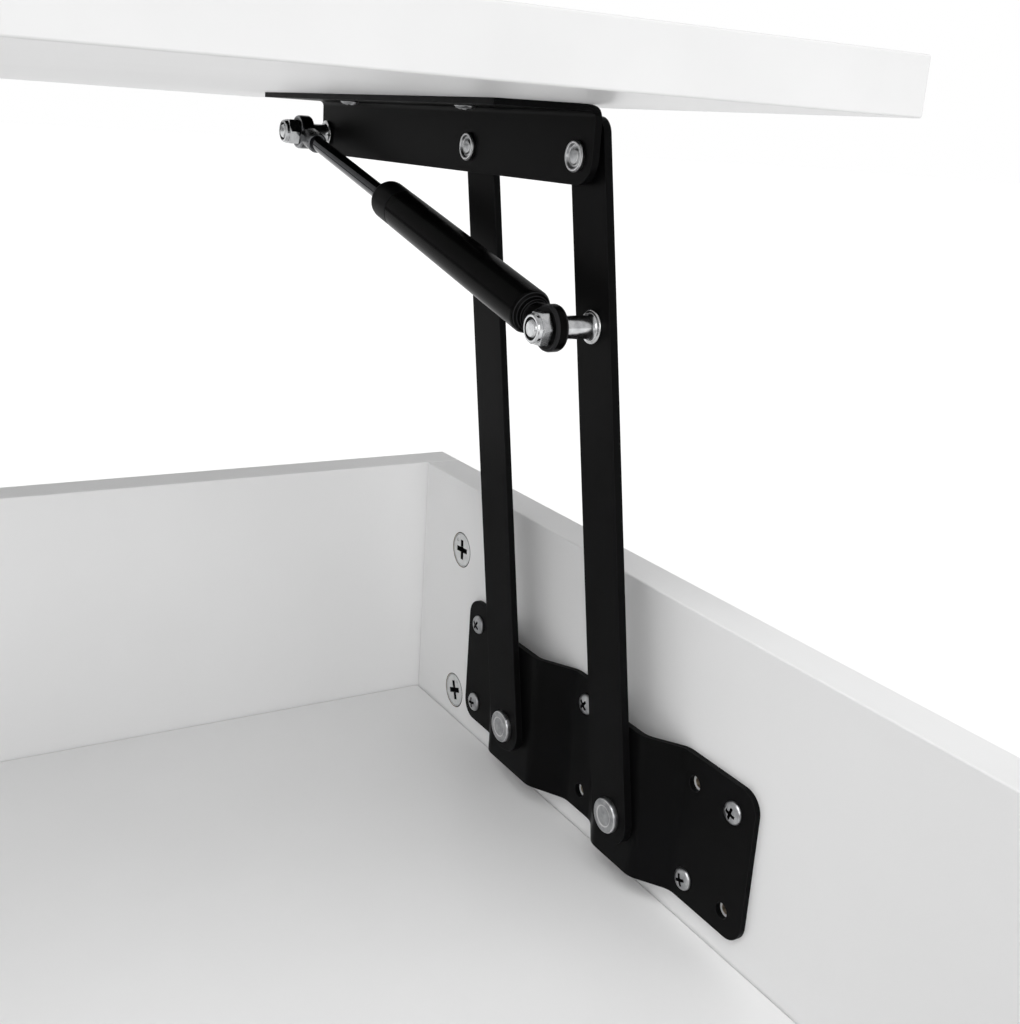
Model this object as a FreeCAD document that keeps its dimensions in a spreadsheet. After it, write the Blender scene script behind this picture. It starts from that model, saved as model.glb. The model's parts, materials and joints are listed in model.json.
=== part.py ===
"""Lift-top coffee table: a board case with a storage compartment, and a lid on two four-bar lifts.

The lid is stored raised. Millimetres and degrees. +X runs along the long side, +Y points away
from the person at the table, +Z is up. The origin is at the middle of the footprint of the
raised table, on the ground. The left lift is drawn, and the right one is its mirror image.
"""
import os
import re

import FreeCAD, Part
import Sketcher
from FreeCAD import Placement, Rotation, Vector

DIMENSIONS = {
    # case
    "case_width": 1000,
    "case_depth": 500,
    "case_front": -127.55,
    "case_top": 405,
    "floor_top": 300,
    "base_top": 60,
    "board": 15,
    "ease": 0.6,
    "lid_reveal": 3,
    "divider_inset": 15,
    "kick_inset": 35,
    "foot_lift": 5,
    "foot_radius": 7,
    "nail_radius": 1,
    "nail_length": 14,
    # knock-down fittings
    "cam_radius": 7.5,
    "cam_depth": 12.5,
    "cam_setback": 34,
    "cam_low": 12,
    "cam_high": 76,
    "cam_slot_width": 1.8,
    "cam_slot_length": 9,
    "cam_slot_depth": 2,
    "cam_mouth_radius": 3.6,
    "shelf_cam_inset": 80,
    "bolt_radius": 3,
    "bolt_bore": 4,
    "bolt_thread": 11,
    "bolt_neck": 2,
    "bolt_head": 3.4,
    "dowel_radius": 4,
    "dowel_length": 24,
    "dowel_height": 44,
    "fit_gap": 0.05,
    # four-bar lift
    "front_pivot": 98.5,
    "rear_pivot": 168.5,
    "pivot_rise": 28,
    "arm_pitch": 214,
    "arm_lean": 11.6,
    "arm_closed": 16.8,
    "arm_width": 19,
    "arm_thick": 2.8,
    "arm_overhang": 9.5,
    "arm_corner": 8.5,
    "arm_top_corner": 6,
    "arm_top_extra": 2.2,
    "side_gap": 0.1,
    "low_washer": 1,
    "pin_radius": 4,
    "low_head_radius": 6,
    "low_head": 2,
    "high_head_radius": 4.9,
    "high_head": 1.5,
    "tail_radius": 5.5,
    "tail": 1.5,
    "dimple_radius": 2.6,
    "dimple": 0.6,
    "washer_radius": 7,
    # base plate
    "plate_thick": 2,
    "plate_lift": 8,
    "plate_front": 47.5,
    "plate_rear": 224,
    "plate_rise": 8.5,
    "plate_tall": 52,
    "plate_corner": 7,
    "plate_bend": 8,
    "screw_hole": 2.65,
    "screw_radius": 1.75,
    "screw_length": 12,
    "screw_head_radius": 3.75,
    "screw_head": 1.9,
    "low_row": 16.5,
    "high_row": 51,
    # top bracket
    "pivot_drop": 15.5,
    "spacer_thick": 1.5,
    "web_thick": 2.5,
    "web_below": 8.75,
    "web_ahead": 206.7,
    "web_behind": 9,
    "web_corner": 8.6,
    "web_top_corner": 5,
    "flange_width": 29.5,
    "flange_thick": 2,
    "flange_slant": 16,
    "flange_bend": 2.4,
    "lid_screw_offset": 33,
    "lid_screw_front": 142.5,
    "lid_screw_rear": 46.5,
    "lid_screw_length": 13,
    "lid_screw_dome": 1.6,
    # gas strut
    "stud_below": 52.7,
    "stud_ahead": 200.7,
    "strut_axis": 29.6,
    "tube_eye_width": 4.8,
    "rod_eye_width": 6,
    "neck_start": 6.4,
    "eye_radius": 7.5,
    "rod_eye_radius": 7,
    "thread_radius": 3,
    "shoulder_radius": 3.75,
    "stud_flange_radius": 5.5,
    "stud_flange": 1.2,
    "arm_stud_end": 37.3,
    "lid_stud_end": 40.4,
    "nut_radius": 5.77,
    "arm_nut_thick": 5,
    "lid_nut_thick": 6.5,
    "web_gap": 0.3,
    "tube_radius": 7.5,
    "tube_bore": 6.4,
    "tube_length": 115.5,
    "tube_start": 11.5,
    "tube_end": 3,
    "guide_length": 14,
    "neck_radius": 5,
    "rod_neck_radius": 4.2,
    "rod_neck_end": 17.5,
    "rod_radius": 3,
    "rod_length": 94,
    "piston_radius": 6.3,
    "piston_length": 8,
}

doc = FreeCAD.newDocument("lift_top_coffee_table")
sheet = doc.addObject("Spreadsheet::Sheet", "dims")
for row, (alias, value) in enumerate(DIMENSIONS.items(), start=1):
    sheet.set(f"A{row}", alias)
    sheet.set(f"B{row}", str(value))
    sheet.setAlias(f"B{row}", alias)
doc.recompute()

ALIAS = re.compile(r"\b(" + "|".join(DIMENSIONS) + r")\b")

# Places that many pieces share, as formulas of the sheet's cells.
INNER_HALF = "(case_width / 2 - board)"
WALL = "(board - case_width / 2)"
FRONT = "(case_front + board)"
REAR = "(case_front + case_depth - board)"
INNER_DEPTH = "(case_depth - 2 * board)"
ARM_FACE = "(plate_lift + plate_thick + low_washer)"
WEB_FACE = f"({ARM_FACE} + arm_thick + 2 * side_gap + spacer_thick)"
RISE = "(arm_pitch * cos(arm_lean))"
REACH = "(arm_pitch * sin(arm_lean))"
PIVOT_Z = "(floor_top + pivot_rise)"
FRONT_PIVOT_Y = f"({FRONT} + front_pivot)"
REAR_PIVOT_Y = f"({FRONT} + rear_pivot)"
TOP_FRONT_Y = f"({FRONT_PIVOT_Y} - {REACH})"
TOP_PIVOT_Y = f"({REAR_PIVOT_Y} - {REACH})"
TOP_PIVOT_Z = f"({PIVOT_Z} + {RISE})"
LID_UNDER = f"({TOP_PIVOT_Z} + pivot_drop)"
LID_FRONT = f"(case_front + lid_reveal - {REACH} - arm_pitch * cos(arm_closed))"
LID_STUD_Y = f"({TOP_PIVOT_Y} - stud_ahead)"
ARM_STUD_Y = f"({TOP_PIVOT_Y} + stud_below * sin(arm_lean))"
ARM_STUD_Z = f"({TOP_PIVOT_Z} - stud_below * cos(arm_lean))"
STRUT_DY = f"({ARM_STUD_Y} - {LID_STUD_Y})"
STRUT_DZ = f"({TOP_PIVOT_Z} - {ARM_STUD_Z})"
STRUT_SLOPE = f"atan({STRUT_DZ} / {STRUT_DY})"
TUBE_EYE_FACE = "(strut_axis - tube_eye_width / 2)"
ROD_EYE_FACE = "(strut_axis - rod_eye_width / 2)"

LOWER_PIVOTS = (("front", FRONT_PIVOT_Y), ("rear", REAR_PIVOT_Y))
UPPER_PIVOTS = (("front", TOP_FRONT_Y), ("rear", TOP_PIVOT_Y))

NORTH = {
    "+x": Vector(1, 0, 0),
    "-x": Vector(-1, 0, 0),
    "+y": Vector(0, 1, 0),
    "-y": Vector(0, -1, 0),
    "+z": Vector(0, 0, 1),
    "-z": Vector(0, 0, -1),
}

nodes = []


def formula(text):
    """Points every alias in a formula at the sheet."""
    return ALIAS.sub(r"dims.\1", text)


def bind(item, **sizes):
    """Ties properties of an object to formulas of the sheet."""
    for name, text in sizes.items():
        item.setExpression(name, formula(text))
    return item


def put(item, x="0", y="0", z="0", turn=Rotation()):
    """Places an object at a point given as formulas, with a fixed turn."""
    item.Placement = Placement(Vector(), turn)
    for axis, text in zip("xyz", (x, y, z)):
        item.setExpression(f"Placement.Base.{axis}", formula(text))
    return item


def tip(item, angle):
    """Turns a placed object about its own X by a formula, in degrees."""
    item.Placement.Rotation = Rotation(Vector(1, 0, 0), 1)
    item.setExpression("Placement.Rotation.Angle", formula(angle))
    return item


def node(item, label):
    """Names a finished piece, and lists it for export."""
    item.Label = label
    nodes.append(item)
    return item


def cylinder(name, radius, length, x, y, z, along):
    """A cylinder from a point along one of the six directions."""
    item = doc.addObject("Part::Cylinder", name)
    bind(item, Radius=radius, Height=length)
    return put(item, x, y, z, Rotation(NORTH["+z"], NORTH[along]))


def block(name, size, x, y, z):
    """A Part box with its low corner at a point."""
    item = doc.addObject("Part::Box", name)
    bind(item, Length=size[0], Width=size[1], Height=size[2])
    return put(item, x, y, z)


def cut(name, base, tools):
    """Takes a group of tools out of a base."""
    tool = doc.addObject("Part::Compound", f"{name}_tools")
    tool.Links = tools
    item = doc.addObject("Part::Cut", name)
    item.Base = base
    item.Tool = tool
    return item


def fuse(name, pieces):
    """Joins pieces into one solid."""
    item = doc.addObject("Part::MultiFuse", name)
    item.Shapes = pieces
    return item


def group(label, members):
    """Keeps alike fasteners in one node as separate solids."""
    item = doc.addObject("Part::Compound", label)
    item.Links = members
    return node(item, label)


def copy_of(master, name):
    """A linked copy of a master piece, to be placed on its own."""
    item = doc.addObject("App::Link", name)
    item.LinkedObject = master
    return item


def origin_plane(body, role):
    """One of a body's own origin planes."""
    return next(plane for plane in body.Origin.OriginFeatures if plane.Role == role)


def outline(body, plane, corners):
    """A closed sketch of straight sides on a body's own plane, with every corner tied to the sheet."""
    sketch = body.newObject("Sketcher::SketchObject", f"{body.Name}_outline")
    sketch.AttachmentSupport = (origin_plane(body, plane), [""])
    sketch.MapMode = "FlatFace"
    count = len(corners)
    ring = [Rotation(NORTH["+z"], 360 * i / count).multVec(Vector(10, 0, 0)) for i in range(count)]
    for i in range(count):
        sketch.addGeometry(Part.LineSegment(ring[i], ring[(i + 1) % count]))
    for i in range(count):
        sketch.addConstraint(Sketcher.Constraint("Coincident", i, 2, (i + 1) % count, 1))
    for i, corner in enumerate(corners):
        for axis, text in zip("XY", corner):
            number = sketch.addConstraint(Sketcher.Constraint(f"Distance{axis}", -1, 1, i, 1, 1.0))
            sketch.setExpression(f"Constraints[{number}]", formula(text))
    return sketch


def padded(name, plane, corners, length):
    """A body with one pad of an outline."""
    body = doc.addObject("PartDesign::Body", name)
    pad = body.newObject("PartDesign::Pad", f"{name}_pad")
    pad.Profile = outline(body, plane, corners)
    bind(pad, Length=length)
    return body


def turned(name, corners, about="H_Axis"):
    """A body turned about its own X axis, or its Y axis with V_Axis, from (along, radius) corners."""
    body = doc.addObject("PartDesign::Body", name)
    if about == "V_Axis":
        corners = [(radius, along) for along, radius in corners]
    sketch = outline(body, "XY_Plane", corners)
    spin = body.newObject("PartDesign::Revolution", f"{name}_spin")
    spin.Profile = sketch
    spin.ReferenceAxis = (sketch, [about])
    spin.Angle = 360
    return body


def rounded(body, radius, chosen):
    """Rounds the edges of a body's tip that a test picks."""
    doc.recompute()
    base = body.Tip
    names = [f"Edge{i}" for i, edge in enumerate(base.Shape.Edges, start=1) if chosen(edge)]
    fillet = body.newObject("PartDesign::Fillet", f"{body.Name}_fillet_{radius}")
    fillet.Base = (base, names)
    bind(fillet, Radius=radius)
    return body


def runs_along(edge, direction):
    """True where a straight edge is parallel to a direction."""
    ends = edge.Vertexes
    if len(ends) < 2 or edge.Curve.TypeId != "Part::GeomLine":
        return False
    run = ends[1].Point - ends[0].Point
    return run.cross(direction).Length < 1e-6 * run.Length


# ---------------------------------------------------------------- boards
board_bodies = {}
bores = {}


def panel(label, size, corner):
    """A faced chipboard panel with eased edges. Its bores are cut once all joints are known."""
    wide, deep, tall = size
    corners = [("0", "0"), (wide, "0"), (wide, deep), ("0", deep)]
    body = padded(f"{label}_blank", "XY_Plane", corners, tall)
    rounded(body, "ease", lambda edge: True)
    put(body, *corner)
    board_bodies[label] = body
    bores[label] = []


def make_panels():
    """The nine boards of the case."""
    inner = "case_width - 2 * board"
    panel("front_panel", ("case_width", "board", "case_top - floor_top + board"),
          ("-case_width / 2", "case_front", "floor_top - board"))
    panel("rear_panel", ("case_width", "board", "case_top - base_top + board"),
          ("-case_width / 2", REAR, "base_top - board"))
    panel("left_side_panel", ("board", INNER_DEPTH, "case_top - foot_lift"),
          ("-case_width / 2", FRONT, "foot_lift"))
    panel("right_side_panel", ("board", INNER_DEPTH, "case_top - foot_lift"),
          (INNER_HALF, FRONT, "foot_lift"))
    panel("compartment_floor", (inner, INNER_DEPTH, "board"), (WALL, FRONT, "floor_top - board"))
    panel("base_panel", (inner, INNER_DEPTH, "board"), (WALL, FRONT, "base_top - board"))
    panel("centre_divider", ("board", f"{INNER_DEPTH} - divider_inset", "floor_top - board - base_top"),
          ("-board / 2", f"{FRONT} + divider_inset", "base_top"))
    kick = (inner, "board", "base_top - board - foot_lift")
    panel("front_kick_rail", kick, (WALL, f"{FRONT} + kick_inset", "foot_lift"))
    panel("rear_kick_rail", kick, (WALL, f"{REAR} - kick_inset - board", "foot_lift"))


def drill(name, labels, radius, length, x, y, z, along):
    """One bore through the boards named."""
    tool = cylinder(name, radius, length, x, y, z, along)
    for label in labels:
        bores[label].append(tool)


def finish_panels():
    """Cuts each board's bores and lists the boards as nodes."""
    for label, body in board_bodies.items():
        item = cut(label, body, bores[label]) if bores[label] else body
        node(item, label)


# ---------------------------------------------------------------- knock-down fittings
def cam_master():
    """Cam lock: a cast disc with a cross recess in its face and a mouth for the bolt's head."""
    disc = cylinder("cam_disc", "cam_radius - fit_gap", "cam_depth - 0.2", "0", "0", "-cam_depth + 0.2", "+z")
    mouth = cylinder("cam_mouth", "cam_mouth_radius", "cam_radius + 1", "0", "0", "-board / 2", "+x")
    long_way = ("cam_slot_length", "cam_slot_width", "cam_slot_depth")
    short_way = ("cam_slot_width", "cam_slot_length", "cam_slot_depth")
    slots = [
        block(f"cam_slot_{way}", size, f"-{size[0]} / 2", f"-{size[1]} / 2", "-cam_slot_depth")
        for way, size in (("long", long_way), ("short", short_way))
    ]
    return cut("cam_lock_master", disc, [mouth] + slots)


def bolt_master():
    """Cam bolt, from its threaded end at -X to its round head at +X. X is 0 at the panel's face."""
    stem = "(cam_setback - bolt_neck - 4)"
    corners = [
        ("-bolt_thread + 0.5", "0"),
        ("-bolt_thread + 0.5", "bolt_radius - fit_gap"),
        ("0", "bolt_radius - fit_gap"),
        ("0", "bolt_bore - 0.4"),
        ("1", "bolt_bore - 0.4"),
        ("1", "bolt_neck + 0.4"),
        (stem, "bolt_neck + 0.4"),
        (stem, "bolt_neck - 0.3"),
        (f"{stem} + 1.5", "bolt_neck - 0.3"),
        (f"{stem} + 1.5", "bolt_head"),
        (f"{stem} + 4.5", "bolt_head"),
        (f"{stem} + 4.5", "0"),
    ]
    return turned("cam_bolt_master", corners)


def cam_joint(name, edge_board, face_board, interface, grip, face):
    """A cam lock in one board's face, and the bolt that it pulls out of another board.

    interface is the point where the bolt crosses from board to board, grip the way from the
    cam to the board it pulls on, and face the outward side of the board that holds the cam.
    """
    toward = NORTH[grip]
    away = next(key for key, vector in NORTH.items() if vector == -toward)
    steps = [f"({interface[i]}) + ({-toward[i]:g}) * cam_setback" for i in range(3)]
    surface = [f"{steps[i]} + ({NORTH[face][i]:g}) * board / 2" for i in range(3)]
    inward = next(key for key, vector in NORTH.items() if vector == -NORTH[face])
    drill(f"{name}_edge_bore", [edge_board], "bolt_bore", "cam_setback", *interface, away)
    drill(f"{name}_thread_bore", [face_board], "bolt_radius", "bolt_thread", *interface, grip)
    drill(f"{name}_cam_bore", [edge_board], "cam_radius", "cam_depth", *surface, inward)
    side = NORTH[face].cross(toward)
    lock = put(copy_of(masters["lock"], f"{name}_lock"), *surface,
               Rotation(toward, side, NORTH[face], "ZXY"))
    bolt = put(copy_of(masters["bolt"], f"{name}_bolt"), *interface,
               Rotation(NORTH["+x"], -toward))
    locks.append(lock)
    bolts.append(bolt)


def dowel_joint(name, labels, x, y, z, along):
    """A beech dowel half in each of two boards, centred on the face where they meet."""
    middle = [x, y, z]
    shift = [f"({middle[i]}) - ({NORTH[along][i]:g}) * dowel_length / 2" for i in range(3)]
    deeper = [f"({middle[i]}) - ({NORTH[along][i]:g}) * (dowel_length / 2 + 0.5)" for i in range(3)]
    drill(f"{name}_bore", labels, "dowel_radius + fit_gap", "dowel_length + 1", *deeper, along)
    dowels.append(cylinder(f"{name}_pin", "dowel_radius", "dowel_length", *shift, along))


def make_joinery():
    """Cam locks, cam bolts and dowels of the whole case."""
    sides = (("left", "-", "+x", "-x"), ("right", "", "-x", "+x"))
    ends = (("front", FRONT, "-y"), ("rear", REAR, "+y"))
    for side, sign, inward, outward in sides:
        wall_middle = f"{sign}(case_width / 2 - board / 2)"
        inner_face = f"{sign}{INNER_HALF}"
        for end, y, grip in ends:
            for level in ("cam_low", "cam_high"):
                place = (wall_middle, y, f"floor_top + {level}")
                cam_joint(f"{side}_{end}_{level}", f"{side}_side_panel", f"{end}_panel", place, grip, inward)
            dowel_joint(f"{side}_{end}_dowel", [f"{side}_side_panel", f"{end}_panel"],
                        wall_middle, y, "floor_top + dowel_height", "+y")
        for shelf, top in (("compartment_floor", "floor_top"), ("base_panel", "base_top")):
            middle = f"{top} - board / 2"
            for end, y in (("front", f"{FRONT} + shelf_cam_inset"), ("rear", f"{REAR} - shelf_cam_inset")):
                cam_joint(f"{side}_{shelf}_{end}", shelf, f"{side}_side_panel",
                          (inner_face, y, middle), outward, "-z")
            dowel_joint(f"{side}_{shelf}_dowel", [shelf, f"{side}_side_panel"],
                        inner_face, f"({FRONT} + {REAR}) / 2", middle, "+x")
    for end, y in (("front", f"{FRONT} + shelf_cam_inset"), ("rear", f"{REAR} - shelf_cam_inset")):
        dowel_joint(f"divider_top_{end}", ["centre_divider", "compartment_floor"],
                    "0", y, "floor_top - board", "+z")
        dowel_joint(f"divider_low_{end}", ["centre_divider", "base_panel"], "0", y, "base_top", "+z")
    rails = (("front", f"{FRONT} + kick_inset + board / 2"), ("rear", f"{REAR} - kick_inset - board / 2"))
    for end, y in rails:
        for side, sign in (("left", "-"), ("right", "")):
            dowel_joint(f"{end}_kick_{side}", [f"{end}_kick_rail", "base_panel"],
                        f"{sign}case_width / 4", y, "base_top - board", "+z")


def make_feet():
    """Six nylon glides, nailed up into the side panels and the kick rails."""
    spots = [
        (f"{sign}(case_width / 2 - board / 2)", y)
        for sign in ("-", "")
        for y in (f"{FRONT} + 40", f"{REAR} - 40")
    ]
    spots += [("0", f"{FRONT} + kick_inset + board / 2"), ("0", f"{REAR} - kick_inset - board / 2")]
    owners = ["left_side_panel"] * 2 + ["right_side_panel"] * 2 + ["front_kick_rail", "rear_kick_rail"]
    glides = []
    nails = []
    for i, ((x, y), owner) in enumerate(zip(spots, owners)):
        pad = doc.addObject("Part::Cone", f"glide_{i}_pad")
        bind(pad, Radius1="foot_radius - 1.2", Radius2="foot_radius", Height="foot_lift")
        put(pad, x, y, "0")
        hole = cylinder(f"glide_{i}_hole", "nail_radius + fit_gap", "foot_lift", x, y, "foot_lift / 2", "+z")
        glides.append(cut(f"glide_{i}", pad, [hole]))
        drill(f"glide_{i}_bore", [owner], "nail_radius + fit_gap", "nail_length + 0.5",
              x, y, "foot_lift - 0.5", "+z")
        nails.append(cylinder(f"nail_{i}", "nail_radius", "nail_length", x, y, "foot_lift / 2", "+z"))
    group("foot_glides", glides)
    group("glide_nails", nails)


# ---------------------------------------------------------------- four-bar lift, left side
def at_wall(item, offset, y, z):
    """Places a piece by its distance from the inner face of the left side panel."""
    return put(item, f"{WALL} + {offset}", y, z)


SCREW_COLUMNS = ("55.5", "134.5", "195.8", "214.7")
FITTED = ((0, "high_row"), (0, "low_row"), (1, "high_row"), (2, "low_row"), (3, "high_row"))
JOGGLES = (("70", "82", "112", "126"), ("143", "155", "177.5", "189.5"))


def base_plate():
    """Pressed strip screwed to the side panel, joggled off it at both lower pivots."""
    inner = [("0", "plate_front")]
    outer = [("plate_thick", "plate_front")]
    for start, top, end, foot in JOGGLES:
        inner += [("0", start), ("plate_lift", top), ("plate_lift", end), ("0", foot)]
        outer += [
            ("plate_thick", start),
            ("plate_lift + plate_thick", top),
            ("plate_lift + plate_thick", end),
            ("plate_thick", foot),
        ]
    inner.append(("0", "plate_rear"))
    outer.append(("plate_thick", "plate_rear"))
    body = padded("left_plate_blank", "XY_Plane", inner + outer[::-1], "plate_tall")
    first = doc.dims.plate_front
    last = doc.dims.plate_rear

    def is_bend(edge):
        y = edge.Vertexes[0].Point.y
        return runs_along(edge, NORTH["+z"]) and first + 1 < y < last - 1

    def is_corner(edge):
        y = edge.Vertexes[0].Point.y
        return runs_along(edge, NORTH["+x"]) and (y < first + 1 or y > last - 1)

    rounded(body, "plate_bend", is_bend)
    rounded(body, "plate_corner", is_corner)
    at_wall(body, "0", FRONT, "floor_top + plate_rise")
    holes = []
    for i, y in enumerate(SCREW_COLUMNS):
        for row in ("low_row", "high_row"):
            holes.append(cylinder(f"plate_hole_{row}_{i}", "screw_hole", "plate_thick + 2",
                                  f"{WALL} - 1", f"{FRONT} + {y}", f"floor_top + {row}", "+x"))
            for side, x, along in (("left", WALL, "-x"), ("right", INNER_HALF, "+x")):
                drill(f"{side}_pilot_{row}_{i}", [f"{side}_side_panel"], "screw_radius + fit_gap",
                      "screw_length - 1", x, f"{FRONT} + {y}", f"floor_top + {row}", along)
    for name, y in LOWER_PIVOTS:
        holes.append(cylinder(f"plate_pivot_{name}", "pin_radius + fit_gap", "plate_lift + plate_thick + 2",
                              f"{WALL} - 1", y, PIVOT_Z, "+x"))
    node(cut("left_base_plate", body, holes), "left_base_plate")


def plate_screws():
    """Pan-head screws that hold the base plate, their tips in the side panel's pilot holes."""
    corners = [
        ("3 - screw_length", "0"),
        ("5 - screw_length", "screw_radius"),
        ("plate_thick", "screw_radius"),
        ("plate_thick", "screw_head_radius"),
        ("plate_thick + screw_head / 2", "screw_head_radius"),
        ("plate_thick + screw_head", "screw_head_radius / 2"),
        ("plate_thick + screw_head", "0"),
    ]
    screws = [
        at_wall(turned(f"left_plate_screw_{column}_{row}", corners), "0",
                f"{FRONT} + {SCREW_COLUMNS[column]}", f"floor_top + {row}")
        for column, row in FITTED
    ]
    group("left_plate_screws", screws)


def pivot_pin(name, start, tail_end, arm_side, head_end, head_radius, y, z):
    """Riveted shoulder pin along +X, with a dimpled head on the side away from the wall."""
    corners = [
        (start, "0"),
        (start, "tail_radius"),
        (tail_end, "tail_radius"),
        (tail_end, "pin_radius"),
        (arm_side, "pin_radius"),
        (arm_side, head_radius),
        (head_end, head_radius),
        (head_end, "dimple_radius"),
        (f"{head_end} - dimple", "dimple_radius"),
        (f"{head_end} - dimple", "0"),
    ]
    return at_wall(turned(name, corners), "0", y, z)


def washer(name, start, thickness, y, z):
    """Plain washer round a pivot pin."""
    disc = cylinder(f"{name}_disc", "washer_radius", thickness, f"{WALL} + {start}", y, z, "+x")
    hole = cylinder(f"{name}_hole", "pin_radius + fit_gap", f"{thickness} + 2",
                    f"{WALL} + {start} - 1", y, z, "+x")
    return cut(name, disc, [hole])


def lower_pivots():
    """Pins and washers of the lower pivots."""
    head = f"{ARM_FACE} + arm_thick + 2 * side_gap"
    pins = [
        pivot_pin(f"left_lower_pin_{name}", "plate_lift - tail", "plate_lift", head, f"{head} + low_head",
                  "low_head_radius", y, PIVOT_Z)
        for name, y in LOWER_PIVOTS
    ]
    group("left_lower_pins", pins)
    washers = [
        washer(f"left_lower_washer_{name}", "plate_lift + plate_thick", "low_washer", y, PIVOT_Z)
        for name, y in LOWER_PIVOTS
    ]
    group("left_lower_washers", washers)


def arm(label, pivot, with_stud):
    """Flat steel arm between a lower and an upper pivot, leaning past vertical when raised."""
    half = "arm_width / 2"
    low = "-arm_overhang"
    high = "arm_pitch + arm_overhang + arm_top_extra"
    corners = [(f"-{half}", low), (half, low), (half, high), (f"-{half}", high)]
    body = padded(f"{label}_blank", "YZ_Plane", corners, "arm_thick")

    def is_corner(edge, at_top):
        return runs_along(edge, NORTH["+x"]) and (edge.Vertexes[0].Point.z > 0) == at_top

    rounded(body, "arm_corner", lambda edge: is_corner(edge, False))
    rounded(body, "arm_top_corner", lambda edge: is_corner(edge, True))
    holes = [
        cylinder(f"{label}_hole_low", "pin_radius + fit_gap", "arm_thick + 2", "-1", "0", "0", "+x"),
        cylinder(f"{label}_hole_high", "pin_radius + fit_gap", "arm_thick + 2", "-1", "0", "arm_pitch", "+x"),
    ]
    if with_stud:
        holes.append(cylinder(f"{label}_hole_stud", "thread_radius + fit_gap", "arm_thick + 2",
                         "-1", "0", "arm_pitch - stud_below", "+x"))
    item = cut(label, body, holes)
    at_wall(item, f"{ARM_FACE} + side_gap", pivot, PIVOT_Z)
    node(tip(item, "arm_lean"), label)


# ---------------------------------------------------------------- lid and top bracket
def top_bracket():
    """Pressed angle under the lid: its web holds the upper pivots, its flange is screwed up."""
    tall = "web_below + pivot_drop"
    top = f"({tall})"
    corners = [
        ("0", "0"),
        ("web_thick", "0"),
        ("web_thick", f"{top} - flange_thick"),
        ("flange_width", f"{top} - flange_thick"),
        ("flange_width", top),
        ("0", top),
    ]
    body = padded("left_bracket_blank", "XZ_Plane", corners, "web_ahead + web_behind")
    fold = doc.dims.web_below + doc.dims.pivot_drop - doc.dims.flange_thick

    def is_fold(edge):
        x = edge.Vertexes[0].Point.x
        z = edge.Vertexes[0].Point.z
        return runs_along(edge, NORTH["+y"]) and x < doc.dims.web_thick + 1 and z > fold - 1

    def is_web_corner(edge):
        y = edge.Vertexes[0].Point.y
        z = edge.Vertexes[0].Point.z
        return runs_along(edge, NORTH["+x"]) and y > -1 and z < 1

    rounded(body, "flange_bend - 0.6", is_fold)
    rounded(body, "web_corner", is_web_corner)
    at_wall(body, WEB_FACE, f"{TOP_PIVOT_Y} + web_behind", f"{TOP_PIVOT_Z} - web_below")
    slant = padded("left_bracket_slant", "XY_Plane", [
        ("0", "0"),
        ("flange_width + 1", "0"),
        ("flange_width + 1", "-flange_slant"),
    ], "flange_thick + 2")
    at_wall(slant, WEB_FACE, f"{TOP_PIVOT_Y} + web_behind", f"{LID_UNDER} - flange_thick - 1")
    corner_y = f"{TOP_PIVOT_Y} + web_behind - web_top_corner"
    corner_z = f"{LID_UNDER} - web_top_corner"
    corner = cut(
        "left_bracket_corner",
        block("left_bracket_corner_block", ("flange_width", "web_top_corner + 1", "web_top_corner + 1"),
              f"{WALL} + {WEB_FACE} - 1", corner_y, corner_z),
        [cylinder("left_bracket_corner_round", "web_top_corner", "flange_width + 2",
                  f"{WALL} + {WEB_FACE} - 2", corner_y, corner_z, "+x")],
    )
    holes = [slant, corner]
    for name, y in UPPER_PIVOTS:
        holes.append(cylinder(f"bracket_pivot_{name}", "pin_radius + fit_gap", "web_thick + 2",
                              f"{WALL} + {WEB_FACE} - 1", y, TOP_PIVOT_Z, "+x"))
    holes.append(cylinder("bracket_stud_hole", "thread_radius + fit_gap", "web_thick + 2",
                          f"{WALL} + {WEB_FACE} - 1", LID_STUD_Y, TOP_PIVOT_Z, "+x"))
    for name in ("front", "rear"):
        sink = doc.addObject("Part::Cone", f"bracket_sink_{name}")
        bind(sink, Radius1="screw_head_radius + 0.1", Radius2="screw_radius + 0.3", Height="flange_thick")
        put(sink, f"{WALL} + lid_screw_offset", f"{TOP_PIVOT_Y} - lid_screw_{name}",
            f"{LID_UNDER} - flange_thick")
        holes.append(sink)
    node(cut("left_top_bracket", body, holes), "left_top_bracket")


def upper_pivots():
    """Pins and spacers of the upper pivots, and the riveted tail of the strut's stud."""
    web_end = f"{WEB_FACE} + web_thick"
    pins = [
        pivot_pin(f"left_upper_pin_{name}", f"{ARM_FACE} - tail", ARM_FACE, web_end, f"{web_end} + high_head",
                  "high_head_radius", y, TOP_PIVOT_Z)
        for name, y in UPPER_PIVOTS
    ]
    group("left_upper_pins", pins)
    spacers = [
        washer(f"left_upper_spacer_{name}", f"{WEB_FACE} - spacer_thick", "spacer_thick", y, TOP_PIVOT_Z)
        for name, y in UPPER_PIVOTS
    ]
    group("left_upper_spacers", spacers)
    tail = turned("left_stud_tail_body", [
        (f"{WEB_FACE} - tail + 0.1", "0"),
        (f"{WEB_FACE} - tail + 0.1", "tail_radius - 0.7"),
        (WEB_FACE, "tail_radius - 0.7"),
        (WEB_FACE, "thread_radius"),
        (web_end, "thread_radius"),
        (web_end, "0"),
    ])
    node(at_wall(tail, "0", LID_STUD_Y, TOP_PIVOT_Z), "left_stud_tail")


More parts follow.
